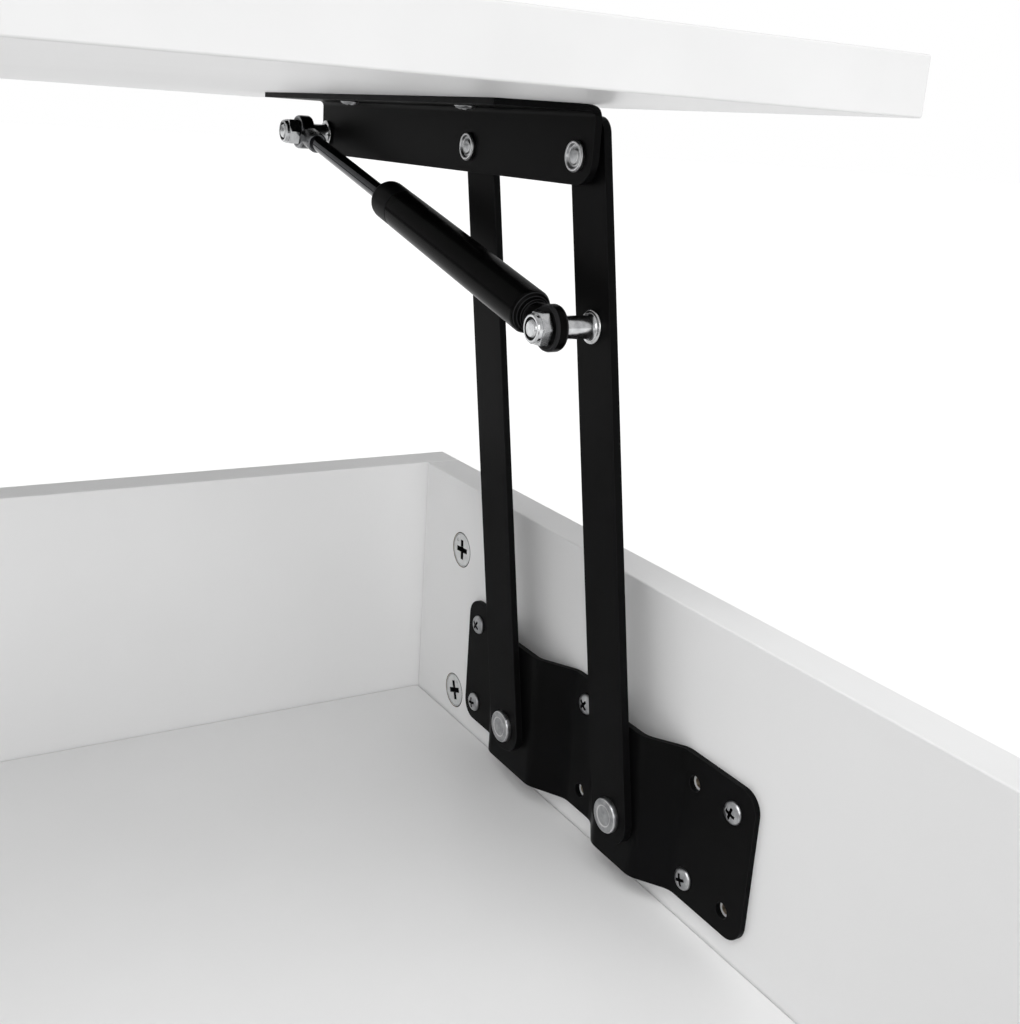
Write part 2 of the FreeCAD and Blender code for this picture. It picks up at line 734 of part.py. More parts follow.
def lid_screws():
    """Countersunk screws from the flange up into the lid. Returns the bores that they need."""
    screws = []
    pilots = []
    for name in ("front", "rear"):
        y = f"{TOP_PIVOT_Y} - lid_screw_{name}"
        corners = [
            ("-lid_screw_dome", "0"),
            ("-lid_screw_dome", "screw_head_radius / 2"),
            ("-lid_screw_dome / 4", "screw_head_radius"),
            ("0", "screw_head_radius"),
            ("flange_thick", "screw_radius"),
            ("lid_screw_length - 3", "screw_radius"),
            ("lid_screw_length", "0"),
        ]
        item = turned(f"left_lid_screw_{name}", corners)
        x = f"{WALL} + lid_screw_offset"
        put(item, x, y, f"{LID_UNDER} - flange_thick", Rotation(NORTH["+x"], NORTH["+z"]))
        screws.append(item)
        for side, sign in (("left", ""), ("right", "-")):
            pilots.append(cylinder(f"{side}_lid_pilot_{name}", "screw_radius + fit_gap", "lid_screw_length",
                              f"{sign}({x})", y, f"{LID_UNDER} - 1", "+z"))
    group("left_bracket_screws", screws)
    return pilots


def lid():
    """Faced chipboard lid, a little smaller all round than the case that it closes."""
    wide = "case_width - 2 * lid_reveal"
    deep = "case_depth - 2 * lid_reveal"
    body = padded("lid_blank", "XY_Plane", [("0", "0"), (wide, "0"), (wide, deep), ("0", deep)], "board")
    rounded(body, "ease", lambda edge: True)
    put(body, "lid_reveal - case_width / 2", LID_FRONT, LID_UNDER)
    node(cut("lid", body, lid_screws()), "lid")


# ---------------------------------------------------------------- gas strut, left side
def on_strut(item, at_stud):
    """Puts a strut piece's origin on one of the strut's two studs, with +Y from lid to arm."""
    y, z = (ARM_STUD_Y, ARM_STUD_Z) if at_stud == "arm" else (LID_STUD_Y, TOP_PIVOT_Z)
    put(item, f"{WALL} + strut_axis", y, z)
    return tip(item, f"-{STRUT_SLOPE}")


def stud(label, flange_start, tail_start, shoulder_end, end, y, z):
    """Shouldered stud along +X with a flange, and a threaded end for the nut."""
    corners = [
        (flange_start, "0"),
        (flange_start, "stud_flange_radius"),
        (f"{flange_start} + stud_flange", "stud_flange_radius"),
        (f"{flange_start} + stud_flange", "shoulder_radius"),
        (shoulder_end, "shoulder_radius"),
        (shoulder_end, "thread_radius"),
        (f"{end} - 0.6", "thread_radius"),
        (end, "thread_radius - 0.6"),
        (end, "0"),
    ]
    if tail_start:
        corners[:1] = [
            (tail_start, "0"),
            (tail_start, "tail_radius - 0.7"),
            (f"{tail_start} + 1.4", "tail_radius - 0.7"),
            (f"{tail_start} + 1.4", "thread_radius"),
            (flange_start, "thread_radius"),
        ]
    node(at_wall(turned(f"{label}_body", corners), "0", y, z), label)


def nut(label, start, thickness, y, z):
    """Hexagon lock nut on a stud's thread."""
    prism = doc.addObject("Part::Prism", f"{label}_prism")
    prism.Polygon = 6
    bind(prism, Circumradius="nut_radius", Height=thickness)
    put(prism, f"{WALL} + {start}", y, z, Rotation(NORTH["+z"], NORTH["+x"]))
    hole = cylinder(f"{label}_hole", "thread_radius + fit_gap / 5", f"{thickness} + 2",
                    f"{WALL} + {start} - 1", y, z, "+x")
    node(cut(label, prism, [hole]), label)


def eye(label, width, radius, neck_radius, neck_end, at_stud, toward, socket):
    """Eye end of the strut: a ring across the stud, and a neck that starts clear of the nut."""
    ring = cylinder(f"{label}_ring", radius, width, f"-{width} / 2", "0", "0", "+x")
    out = "-neck_start" if toward == "-y" else "neck_start"
    neck = cylinder(f"{label}_neck", neck_radius, f"{neck_end} - neck_start", "0", out, "0", toward)
    tools = [cylinder(f"{label}_hole", "thread_radius + fit_gap", f"{width} + 2",
                      f"-{width} / 2 - 1", "0", "0", "+x")]
    if socket:
        tools.append(cylinder(f"{label}_socket", "rod_radius - 0.5", "6",
                              "0", f"{neck_end} - 6", "0", toward))
    item = cut(label, fuse(f"{label}_solid", [ring, neck]), tools)
    node(on_strut(item, at_stud), label)


def strut_studs():
    """The strut's two studs with their nuts: one riveted in the rear arm, one on the lid's bracket."""
    arm_out = f"{ARM_FACE} + side_gap + arm_thick"
    stud("left_arm_stud", arm_out, f"{ARM_FACE} + side_gap - 1.4", TUBE_EYE_FACE, "arm_stud_end",
         ARM_STUD_Y, ARM_STUD_Z)
    nut("left_arm_nut", f"{TUBE_EYE_FACE} + tube_eye_width + side_gap", "arm_nut_thick",
        ARM_STUD_Y, ARM_STUD_Z)
    stud("left_lid_stud", f"{WEB_FACE} + web_thick + web_gap", "", ROD_EYE_FACE, "lid_stud_end",
         LID_STUD_Y, TOP_PIVOT_Z)
    nut("left_lid_nut", f"{ROD_EYE_FACE} + rod_eye_width", "lid_nut_thick", LID_STUD_Y, TOP_PIVOT_Z)


def strut_tube():
    """Pressure tube with its guide and eye, on the arm's stud. Both ends are measured from the stud."""
    near = "-tube_start"
    far = "(-tube_start - tube_length)"
    tube = turned("left_strut_tube_body", [
        (near, "0"),
        (near, "tube_radius - 1"),
        (f"{near} - 1", "tube_radius"),
        (f"{far} + 0.4", "tube_radius"),
        (far, "tube_radius - 0.4"),
        (far, "tube_bore"),
        (f"{near} - tube_end", "tube_bore"),
        (f"{near} - tube_end", "0"),
    ], "V_Axis")
    node(on_strut(tube, "arm"), "left_strut_tube")
    guide = turned("left_strut_guide_body", [
        (far, "rod_radius + 2 * fit_gap"),
        (far, "tube_bore"),
        (f"{far} + guide_length", "tube_bore"),
        (f"{far} + guide_length", "rod_radius + 2 * fit_gap"),
    ], "V_Axis")
    node(on_strut(guide, "arm"), "left_strut_guide")
    eye("left_tube_eye", "(tube_eye_width - 2 * side_gap)", "eye_radius", "neck_radius", "tube_start",
        "arm", "-y", False)


def strut_rod():
    """Piston rod with its piston and eye, on the lid's stud."""
    end = "(rod_neck_end + rod_length)"
    bar = turned("left_piston_rod_body", [
        ("rod_neck_end - 6", "0"),
        ("rod_neck_end - 6", "rod_radius - 0.5"),
        ("rod_neck_end", "rod_radius - 0.5"),
        ("rod_neck_end", "rod_radius"),
        (end, "rod_radius"),
        (end, "0"),
    ], "V_Axis")
    node(on_strut(bar, "lid"), "left_piston_rod")
    piston = turned("left_strut_piston_body", [
        (end, "0"),
        (end, "piston_radius"),
        (f"{end} + piston_length", "piston_radius"),
        (f"{end} + piston_length", "0"),
    ], "V_Axis")
    node(on_strut(piston, "lid"), "left_strut_piston")
    eye("left_rod_eye", "rod_eye_width", "rod_eye_radius", "rod_neck_radius", "rod_neck_end",
        "lid", "+y", True)


# ---------------------------------------------------------------- whole table
def mirror_lift(left_items):
    """The right-hand lift: each left-hand piece mirrored across the middle of the table."""
    for item in left_items:
        label = item.Label.replace("left_", "right_")
        twin = doc.addObject("Part::Mirroring", label)
        twin.Source = item
        twin.Normal = NORTH["+x"]
        node(twin, label)


make_panels()
masters = {"lock": cam_master(), "bolt": bolt_master()}
locks = []
bolts = []
dowels = []
make_joinery()
make_feet()
group("cam_locks", locks)
group("cam_bolts", bolts)
group("dowels", dowels)
base_plate()
plate_screws()
lower_pivots()
arm("left_front_arm", FRONT_PIVOT_Y, False)
arm("left_rear_arm", REAR_PIVOT_Y, True)
top_bracket()
upper_pivots()
lid()
strut_studs()
strut_tube()
strut_rod()
mirror_lift([item for item in nodes if item.Label.startswith("left_")])
finish_panels()
doc.recompute()

faults = [item.Name for item in doc.Objects if {"Invalid", "Error"} & set(item.State)]
for item in nodes:
    if item.Shape.isNull() or not item.Shape.isValid() or not item.Shape.Solids:
        faults.append(item.Label)
if faults:
    raise RuntimeError(f"failed objects: {faults}")

os.makedirs("parts", exist_ok=True)
for item in nodes:
    item.Shape.exportStep(f"parts/{item.Label}.step")
print(len(nodes), "nodes")
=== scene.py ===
"""Looks of a white lift top coffee table: faced boards, two steel lifts and their gas struts."""
import json
import math

import bmesh
import bpy
from mathutils import Matrix, Vector


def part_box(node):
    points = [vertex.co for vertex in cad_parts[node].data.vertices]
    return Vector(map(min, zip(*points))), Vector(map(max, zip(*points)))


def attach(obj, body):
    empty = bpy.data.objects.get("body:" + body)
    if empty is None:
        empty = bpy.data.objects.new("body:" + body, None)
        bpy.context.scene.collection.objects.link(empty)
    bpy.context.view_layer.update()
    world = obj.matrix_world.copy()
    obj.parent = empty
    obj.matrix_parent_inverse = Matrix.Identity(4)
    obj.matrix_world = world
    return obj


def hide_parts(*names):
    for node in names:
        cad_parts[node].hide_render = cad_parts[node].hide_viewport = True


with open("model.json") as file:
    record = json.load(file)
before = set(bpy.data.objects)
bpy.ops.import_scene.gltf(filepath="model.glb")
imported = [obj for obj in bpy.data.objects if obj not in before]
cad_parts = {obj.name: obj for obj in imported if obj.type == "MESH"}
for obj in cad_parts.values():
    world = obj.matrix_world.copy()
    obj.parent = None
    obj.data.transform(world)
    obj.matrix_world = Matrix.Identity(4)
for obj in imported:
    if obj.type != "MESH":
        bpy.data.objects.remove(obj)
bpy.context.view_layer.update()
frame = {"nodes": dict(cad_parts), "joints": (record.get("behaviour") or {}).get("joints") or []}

MM = 0.001
NODES = frame["nodes"]
AXES = {joint["name"]: Vector(joint["axis"]) for joint in frame["joints"]}
ACROSS = Vector((1, 0, 0))

# Steps of a full turn.
ROUND_STEPS = 64

# Sizes in millimetres that the frame's boxes don't give.
# Boards: the round of their outer edges, the joint round the compartment floor, and the depth
# beyond which a face is the wall of a bore.
BOARD_EDGE = 0.5
FLOOR_GAP = 0.3
BORE_DEPTH = 0.8
# Cam locks: the cam's outline, how far its face lies inside its rim, its cross and its arrow.
CAM_RADIUS = 7.45
CAM_LENGTH = 12.3
CAM_RIM = 0.4
CAM_SUNK = 0.18
CAM_RECESS = 8.4
CAM_WING = 2.1
CAM_DEPTH = 3.0
ARROW_RADIUS = 0.9
ARROW_DEPTH = 0.5
ARROW_OUT = 3.6
# The first cam's turn and the further turn of each next one, in degrees.
CAM_TURN = 20
CAM_TURN_STEP = 37
# Pressed steel: the round of the plates' and of the arms' edges, and the base plate's sheet.
SHEET_EDGE = 0.25
ARM_EDGE = 0.3
PLATE_THICK = 2.0
# Screws: the driver's cross, and the tip, core, crest and neck of the shank.
SCREW_RECESS = 4.4
RECESS_WING = 1.1
RECESS_DEPTH = 1.5
TIP_LENGTH = 2.0
TIP_RADIUS = 1.2
CORE_RADIUS = 1.25
CREST_RADIUS = 1.75
NECK_RADIUS = 1.3
# Rivets: the closed end's thickness and the shank.
RIVET_TAIL = 1.5
RIVET_SHANK = 4.0
# Threads of studs: pitch and depth as drawn, and the plain end with its chamfer.
THREAD_PITCH = 1.0
THREAD_DEPTH = 0.3
THREAD_PLAIN = 0.7
THREAD_CHAMFER = 0.6
# Studs and nuts: radii of the stud's thread, shoulder, flange and neck, how far its end stands out
# of the nut, and radii of the nut's bore, of its nylon ring and of the ring's seat.
STUD_RADIUS = 3.0
SHOULDER_RADIUS = 3.75
FLANGE_RADIUS = 5.5
STUD_NECK = 2.95
STUD_PROUD = 0.25
NUT_BORE = 3.02
INSERT_BORE = 3.01
INSERT_RADIUS = 3.64
INSERT_SEAT = 3.65
# Strut, measured along it from the stud at its own end: tube, collar, rod and eyes, and the gap
# between an eye and its stud's shoulder.
TUBE_START = 11.5
TUBE_END = 127.0
TUBE_RADIUS = 7.5
TUBE_BORE = 6.4
TUBE_BOTTOM = 3.0
COLLAR_LENGTH = 15.0
COLLAR_PLUG = 3.0
COLLAR_SEAM = 0.5
ROD_START = 11.5
ROD_END = 111.5
ROD_RADIUS = 3.0
ROD_TENON = 2.5
ROD_BORE = 3.1
TUBE_EYE_WIDTH = 4.5
TUBE_EYE_RADIUS = 7.5
ROD_EYE_WIDTH = 6.0
ROD_EYE_RADIUS = 7.0
ROD_EYE_END = 17.5
NECK_START = 6.4
EYE_BORE = 3.03
EYE_GAP = 0.1

# The studio: which side of the white room is dim, and the tones all round and on that side. The
# lift's black faces and bright metal mirror the dim side.
DIM_SIDE = (0.39, -0.92, 0.0)
DOME_TONES = ("#D4D4D4", "#7A7A7A")
# How far out the backdrop's own light starts and is full, in metres, and its strength there.
BACKDROP_GLOW = (0.4, 1.2, 0.38)
FLOOR_REACH = 30
# Each light's name, the side that it stands on, its strength and its spread in degrees.
LIGHTS = (("key_light", (0.85, -0.42, 0.32), 0.85, 14),
          ("fill_light", (0.36, 0.88, 0.31), 0.85, 35),
          ("top_light", (0.35, 0.4, 0.85), 1.08, 35))
# Where the camera stands in metres, its turn in degrees, and its lens in millimetres.
CAMERA_AT = (-0.24597, 0.34815, 0.54384)
CAMERA_TURN = (72.9025, -3.5994, 149.6146)
CAMERA_LENS = 43.57


# ---------------------------------------------------------------- finishes
def linear(code):
    """An sRGB hex colour as linear red, green, blue and alpha."""
    parts = [int(code[i:i + 2], 16) / 255 for i in (1, 3, 5)]
    return [p / 12.92 if p <= 0.04045 else ((p + 0.055) / 1.055) ** 2.4 for p in parts] + [1.0]


def add(tree, kind, values=None, links=None, **settings):
    """Adds a shader node with its settings, its sockets' values and the sockets that feed it."""
    node = tree.nodes.new(f"ShaderNode{kind}")
    for name, value in settings.items():
        setattr(node, name, value)
    for name, value in (values or {}).items():
        node.inputs[name].default_value = value
    for name, socket in (links or {}).items():
        tree.links.new(socket, node.inputs[name])
    return node


def finish(name, tones, patch, roughness, grain, depth, stretch=(1, 1, 1), rim=None, **sockets):
    """A surface in two close tones, with patchy sheen and a fine relief.

    patch and grain are the sizes of the patches and of the relief, depth its height, all in mm.
    stretch squeezes the relief along an axis. rim is the tone of bevelled edges, used below for painted
    edge highlights and, on the cams, painted edge shade.
    """
    material = bpy.data.materials.new(name)
    material.use_nodes = True
    tree = material.node_tree
    shader = tree.nodes["Principled BSDF"]
    for socket, value in sockets.items():
        shader.inputs[socket.replace("_", " ")].default_value = value
    place = add(tree, "TexCoord").outputs["Object"]
    patches = add(tree, "TexNoise", {"Scale": 1 / (patch * MM), "Detail": 3.0}, {"Vector": place})
    tone = add(tree, "ValToRGB", links={"Fac": patches.outputs["Fac"]})
    for stop, code, at in zip(tone.color_ramp.elements, tones, (0.35, 0.65)):
        stop.color = linear(code)
        stop.position = at
    colour = tone.outputs["Color"]
    # Bevelled faces take the rim tone: painted highlights on edges, painted shade on the cams' edges.
    if rim:
        edge = add(tree, "Attribute", attribute_name="rim")
        mixed = add(tree, "Mix", {"B": linear(rim)}, {"Factor": edge.outputs["Fac"]}, data_type="RGBA")
        tree.links.new(colour, mixed.inputs["A"])
        colour = mixed.outputs["Result"]
    tree.links.new(colour, shader.inputs["Base Color"])
    sheen = add(tree, "MapRange", {"To Min": roughness[0], "To Max": roughness[1]},
                {"Value": patches.outputs["Fac"]})
    tree.links.new(sheen.outputs["Result"], shader.inputs["Roughness"])
    squeezed = add(tree, "Mapping", {"Scale": stretch}, {"Vector": place})
    relief = add(tree, "TexNoise", {"Scale": 1 / (grain * MM), "Detail": 2.0},
                 {"Vector": squeezed.outputs["Vector"]})
    bump = add(tree, "Bump", {"Strength": 1.0, "Distance": depth * MM},
               {"Height": relief.outputs["Fac"]})
    tree.links.new(bump.outputs["Normal"], shader.inputs["Normal"])
    return material


# Faced chipboard: melamine paper pressed against a pearl plate, so a satin white with a faint
# pebble that breaks up reflections. The real pebble is finer; it is drawn as coarse as shows.
melamine = finish("pressed_melamine_face", ("#F0F0F0", "#F3F3F3"), 90, (0.28, 0.36), 1.6, 0.012,
                  IOR=1.5)
# Edge band: extruded ABS strip, ironed on and scraped, so a touch whiter and flatter than the
# faces, with soft uneven marks where it was scraped.
edge_band = finish("scraped_abs_edge_band", ("#F1F1F1", "#F4F4F4"), 40, (0.28, 0.36), 2.0, 0.01,
                   IOR=1.5)
# The lid's board and band are drawn a little greyer than the case's, as the lid stands in the
# light and would look too bright beside the case.
lid_melamine = finish("pressed_melamine_lid_face", ("#E0E0E0", "#E4E4E4"), 90, (0.28, 0.36), 1.6,
                      0.012, IOR=1.5)
lid_band = finish("scraped_abs_lid_band", ("#E2E2E2", "#E6E6E6"), 40, (0.28, 0.36), 2.0, 0.01,
                  IOR=1.5)
# Chipboard core: pressed softwood flakes in glue, seen inside bores as rough tan flecks.
chipboard = finish("raw_chipboard_core", ("#7D7060", "#B3A58E"), 1.4, (0.8, 0.95), 0.9, 0.25)
# Powder coat: epoxy powder baked on pressed steel. Satin black with a fine orange peel. The greyer
# tone on the edges is partly the thinner film there and partly a painted highlight.
powder_coat = finish("baked_black_powder_coat", ("#0B0B0B", "#0E0E0F"), 30, (0.36, 0.46), 0.9, 0.012,
                     rim="#1C1C1D", IOR=1.5, Specular_IOR_Level=0.035)
# Tube lacquer: sprayed and stoved on a drawn tube, smoother than the powder coat.
# Its lighter edges are a painted highlight.
tube_lacquer = finish("stoved_black_lacquer", ("#070707", "#090909"), 25, (0.2, 0.26), 1.2, 0.006,
                      rim="#2A2A2B", IOR=1.5, Specular_IOR_Level=0.03)
# Zinc plate on rivets and screws: formed cold, barrel plated and clear passivated. Grey and a
# little cloudy; the brighter edges are partly rubbed in the barrel and partly a painted highlight.
zinc_plate = finish("barrel_plated_zinc", ("#969799", "#B4B5B6"), 2.5, (0.24, 0.4), 0.5, 0.008,
                    rim="#D6D6D6", Metallic=1.0)
# Bright zinc on studs and nuts: turned on a lathe before plating, so smoother and more mirror-like,
# with fine rings left by the tool.
# Its lighter edges are a painted highlight.
bright_zinc = finish("bright_zinc_on_turned_steel", ("#BDBEC0", "#D8D9DA"), 2.5, (0.14, 0.24), 0.6,
                     0.006, stretch=(3, 1, 1), rim="#E6E6E6", Metallic=1.0)
# Recess: the plating bath hardly reaches into a driver recess, so its walls are dull; their near-black
# tone is painted shade.
recess_painted_shade = finish("recess_wall_painted_shade", ("#0D0D0E", "#19191A"), 1.0, (0.6, 0.75), 0.4, 0.02,
                     Metallic=1.0)
# Cam castings: zinc alloy shot into a steel die and tumbled, so dull and pale with a soft grain.
# Its darker bevelled edges are painted shade.
zinc_casting = finish("tumbled_zinc_casting", ("#D9DADA", "#EAEBEB"), 3.0, (0.45, 0.6), 0.6, 0.02,
                      rim="#8A8B8C", Metallic=1.0)
# Piston rod: ground, nitrided, thinly chromed and polished along its length: a dark grey mirror.
hard_chrome = finish("polished_dark_chrome", ("#37383B", "#404144"), 12, (0.05, 0.10), 0.8, 0.001,
                     Metallic=1.0)
# Rod eye: forged, tumbled and nickel plated without brightener, so a dark grey metal.
# Its lighter edges are a painted highlight.
dark_nickel = finish("dull_dark_nickel_plate", ("#3C3D3F", "#4E4F51"), 3.0, (0.2, 0.3), 0.8, 0.006,
                     rim="#8C8D8F", Metallic=1.0)
# Acetal: injection moulded, matt black, with the die's fine spark-eroded grain.
# Its slightly lighter edges are a painted highlight.
acetal = finish("spark_grained_black_acetal", ("#0A0A0A", "#0D0D0E"), 8, (0.4, 0.5), 0.5, 0.012,
                rim="#1E1E1F", IOR=1.48, Specular_IOR_Level=0.06)
# Beech: turned and fluted dowel rod, pale brown with short darker flecks along the grain.
beech = finish("turned_beech", ("#B98C5E", "#D2AA7B"), 2.5, (0.55, 0.7), 1.2, 0.05, stretch=(0.2, 1, 1),
               IOR=1.5)
# Nylon: moulded natural nylon, waxy off-white that lets a little light in.
nylon = finish("moulded_natural_nylon", ("#DAD8CF", "#E4E2DA"), 6, (0.38, 0.46), 0.7, 0.01,
               IOR=1.53, Subsurface_Weight=0.1)

SLOTS = {
    "white_laminate_board": melamine,
    "black_powder_coated_steel": powder_coat,
    "zinc_plated_steel": zinc_plate,
    "zinc_casting": zinc_casting,
    "chromed_rod": hard_chrome,
    "dark_plated_steel": dark_nickel,
    "black_painted_tube": tube_lacquer,
    "black_acetal": acetal,
    "beech": beech,
    "nylon": nylon,
}


# ---------------------------------------------------------------- shaping
def from_cad(node):
    """A CAD node's mesh with its loose triangles joined and its flat faces made whole."""
    shape = bmesh.new()
    shape.from_mesh(NODES[node].data)
    bmesh.ops.remove_doubles(shape, verts=shape.verts, dist=0.001 * MM)
    bmesh.ops.dissolve_limit(shape, angle_limit=math.radians(0.5), verts=shape.verts,
                             edges=shape.edges)
    return shape


def soften(shape, width, above=35, steps=2):
    """Bevels the edges that are sharper than an angle, and marks the new faces as rim."""
    rim = shape.faces.layers.float.get("rim") or shape.faces.layers.float.new("rim")
    sharp = [e for e in shape.edges if e.is_manifold and e.calc_face_angle() > math.radians(above)]
    made = bmesh.ops.bevel(shape, geom=sharp, offset=width * MM, offset_type="OFFSET", segments=steps,
                           profile=0.5, affect="EDGES", material=-1, clamp_overlap=True)
    for face in made["faces"]:
        face[rim] = 1.0
    return shape


def turned(corners, edge=0.0, steps=ROUND_STEPS):
    """A solid turned about X from (along, radius) corners in mm, its sharp rings bevelled."""
    shape = bmesh.new()
    points = [shape.verts.new((along * MM, radius * MM, 0)) for along, radius in corners]
    lines = [shape.edges.new(pair) for pair in zip(points, points[1:])]
    bmesh.ops.spin(shape, geom=points + lines, cent=(0, 0, 0), axis=(1, 0, 0), angle=2 * math.pi,
                   steps=steps, use_merge=True)
    bmesh.ops.remove_doubles(shape, verts=shape.verts, dist=0.002 * MM)
    bmesh.ops.recalc_face_normals(shape, faces=shape.faces)
    return soften(shape, edge) if edge else shape


def ring(corners, edge=0.0, steps=ROUND_STEPS):
    """A solid with a hole, turned about X from a closed loop of (along, radius) corners."""
    return turned(list(corners) + [corners[0]], edge, steps)


def prism(sides, radius, length, middle):
    """A prism along X with its middle at a point, all in metres."""
    shape = bmesh.new()
    bmesh.ops.create_cone(shape, cap_ends=True, segments=sides, radius1=radius, radius2=radius,
                          depth=length)
    bmesh.ops.rotate(shape, cent=(0, 0, 0), matrix=Matrix.Rotation(math.pi / 2, 3, "Y"),
                     verts=shape.verts)
    bmesh.ops.translate(shape, vec=middle, verts=shape.verts)
    return shape


def moved(shape, matrix):
    """Moves a shape in place."""
    bmesh.ops.transform(shape, matrix=matrix, verts=shape.verts)
    return shape


def middle_of(node):
    """The middle of a CAD node's box."""
    return sum(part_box(node), Vector()) / 2


def pointing(origin, direction, roll=0.0):
    """The move that takes a shape made along X to a point and a direction, rolled in degrees."""
    turn = ACROSS.rotation_difference(direction).to_matrix().to_4x4()
    return Matrix.Translation(origin) @ turn @ Matrix.Rotation(math.radians(roll), 4, "X")


def gathered(shapes):
    """Several shapes as one mesh."""
    whole = bmesh.new()
    whole.faces.layers.float.new("rim")
    for shape in shapes:
        mesh = bpy.data.meshes.new("part")
        shape.to_mesh(mesh)
        shape.free()
        whole.from_mesh(mesh)
        bpy.data.meshes.remove(mesh)
    return whole


def carved(shape, tool, operation="DIFFERENCE"):
    """Cuts, joins or crosses two closed shapes. Both get two finishes, so each face keeps its own."""
    pair = []
    for part in (shape, tool):
        mesh = bpy.data.meshes.new("part")
        part.to_mesh(mesh)
        part.free()
        # The second finish paints the shade in recesses.
        mesh.materials.append(zinc_plate)
        mesh.materials.append(recess_painted_shade)
        pair.append(bpy.data.objects.new("part", mesh))
        bpy.context.scene.collection.objects.link(pair[-1])
    modifier = pair[0].modifiers.new("carve", "BOOLEAN")
    modifier.operation = operation
    modifier.solver = "EXACT"
    modifier.object = pair[1]
    bpy.context.view_layer.update()
    result = bmesh.new()
    result.from_object(pair[0], bpy.context.evaluated_depsgraph_get())
    for item in pair:
        mesh = item.data
        bpy.data.objects.remove(item)
        bpy.data.meshes.remove(mesh)
    bmesh.ops.remove_doubles(result, verts=result.verts, dist=0.001 * MM)
    return result


def cross_tool(length, wing, depth):
    """A tapered cross that cuts a driver recess down from X = 0, where it has its full size."""
    arms = []
    for sizes in ((length, wing), (wing, length)):
        arm = bmesh.new()
        bmesh.ops.create_cube(arm, size=1.0)
        bmesh.ops.scale(arm, vec=(2 * depth * MM, sizes[0] * MM, sizes[1] * MM), verts=arm.verts)
        for widening, end in ((1.25, [v for v in arm.verts if v.co.x > 0]),
                              (0.75, [v for v in arm.verts if v.co.x < 0])):
            bmesh.ops.scale(arm, vec=(1, widening, widening), verts=end)
        # Its faces become the recess walls and take the second finish: painted shade in the recess.
        for face in arm.faces:
            face.material_index = 1
        arms.append(arm)
    return carved(*arms, "UNION")


def solids_of(node):
    """The lowest and highest corner of each separate solid in a CAD node."""
    shape = from_cad(node)
    left = set(shape.verts)
    boxes = []
    while left:
        ready = [left.pop()]
        found = []
        while ready:
            vert = ready.pop()
            found.append(vert.co)
            for edge in vert.link_edges:
                other = edge.other_vert(vert)
                if other in left:
                    left.remove(other)
                    ready.append(other)
        low = Vector([min(co[i] for co in found) for i in range(3)])
        high = Vector([max(co[i] for co in found) for i in range(3)])
        boxes.append((low.copy(), high.copy()))
    shape.free()
    return sorted(boxes, key=lambda box: tuple(round(c, 4) for c in box[0].yzx))


def piece(name, shape, body, slot, nodes, materials=None, sharp=40):
    """Makes a shape a finished piece that rides on a body and stands for CAD nodes."""
    bmesh.ops.recalc_face_normals(shape, faces=shape.faces)
    mesh = bpy.data.meshes.new(name)
    shape.to_mesh(mesh)
    shape.free()
    # Normals that came with the CAD mesh don't fit its bevelled faces.
    cad_normals = mesh.attributes.get("custom_normal")
    if cad_normals:
        mesh.attributes.remove(cad_normals)
    for material in materials or [SLOTS[slot]]:
        mesh.materials.append(material)
    mesh.shade_smooth()
    mesh.set_sharp_from_angle(angle=math.radians(sharp))
    item = bpy.data.objects.new(name, mesh)
    bpy.context.scene.collection.objects.link(item)
    even = item.modifiers.new("even_shading", "WEIGHTED_NORMAL")
    even.keep_sharp = True
    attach(item, body)
    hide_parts(*nodes)


def both_sides(name, shape, body, slot, nodes, materials=None, sharp=40):
    """A left-hand piece and its mirror image on the right-hand lift."""
    twin = shape.copy()
    bmesh.ops.scale(twin, vec=(-1, 1, 1), verts=twin.verts)
    bmesh.ops.reverse_faces(twin, faces=twin.faces)
    for side, made in (("left", shape), ("right", twin)):
        piece(f"{side}_{name}", made, body.replace("left", side), slot,
              [f"{side}_{node}" for node in nodes], materials, sharp)


# ---------------------------------------------------------------- boards
def on_outer_edge(edge, low, high):
    """True for an edge that lies along one of its board's twelve outer edges."""
    near = 0.01 * MM
    walls = [all(abs(vert.co[i] - side[i]) < near for vert in edge.verts)
             for i in range(3) for side in (low, high)]
    return sum(walls) == 2


def board(node, body, face_finish, band_finish):
    """A faced board: melamine on its broad faces, edge band round it, bare core in its bores."""
    low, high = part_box(node)
    size = high - low
    thin = min(range(3), key=lambda i: size[i])
    shape = from_cad(node)
    if node == "compartment_floor":
        # The floor drops in between the walls and leaves a fine dark joint all round.
        joint = Vector((FLOOR_GAP * MM, FLOOR_GAP * MM, 0))
        bmesh.ops.scale(shape, vec=[1 - 2 * joint[i] / size[i] for i in range(3)],
                        space=Matrix.Translation(-(low + high) / 2), verts=shape.verts)
        low, high = low + joint, high - joint
    bmesh.ops.bevel(shape, geom=[edge for edge in shape.edges if on_outer_edge(edge, low, high)],
                    offset=BOARD_EDGE * MM, offset_type="OFFSET", segments=2, profile=0.5,
                    affect="EDGES", material=-1, clamp_overlap=True)
    for face in shape.faces:
        middle = face.calc_center_median()
        depth = min(min(middle[i] - low[i], high[i] - middle[i]) for i in range(3))
        broad = abs(face.normal[thin]) > 0.7
        face.material_index = 2 if depth > BORE_DEPTH * MM else 0 if broad else 1
    piece(f"{node}_board", shape, body, "white_laminate_board", [node],
          [face_finish, band_finish, chipboard])


def make_boards():
    """The case's nine boards and the lid."""
    for node in sorted(NODES):
        if NODES[node].data.materials[0].name.startswith("white_laminate_board"):
            if node == "lid":
                board(node, "lid", lid_melamine, lid_band)
            else:
                board(node, "case", melamine, edge_band)


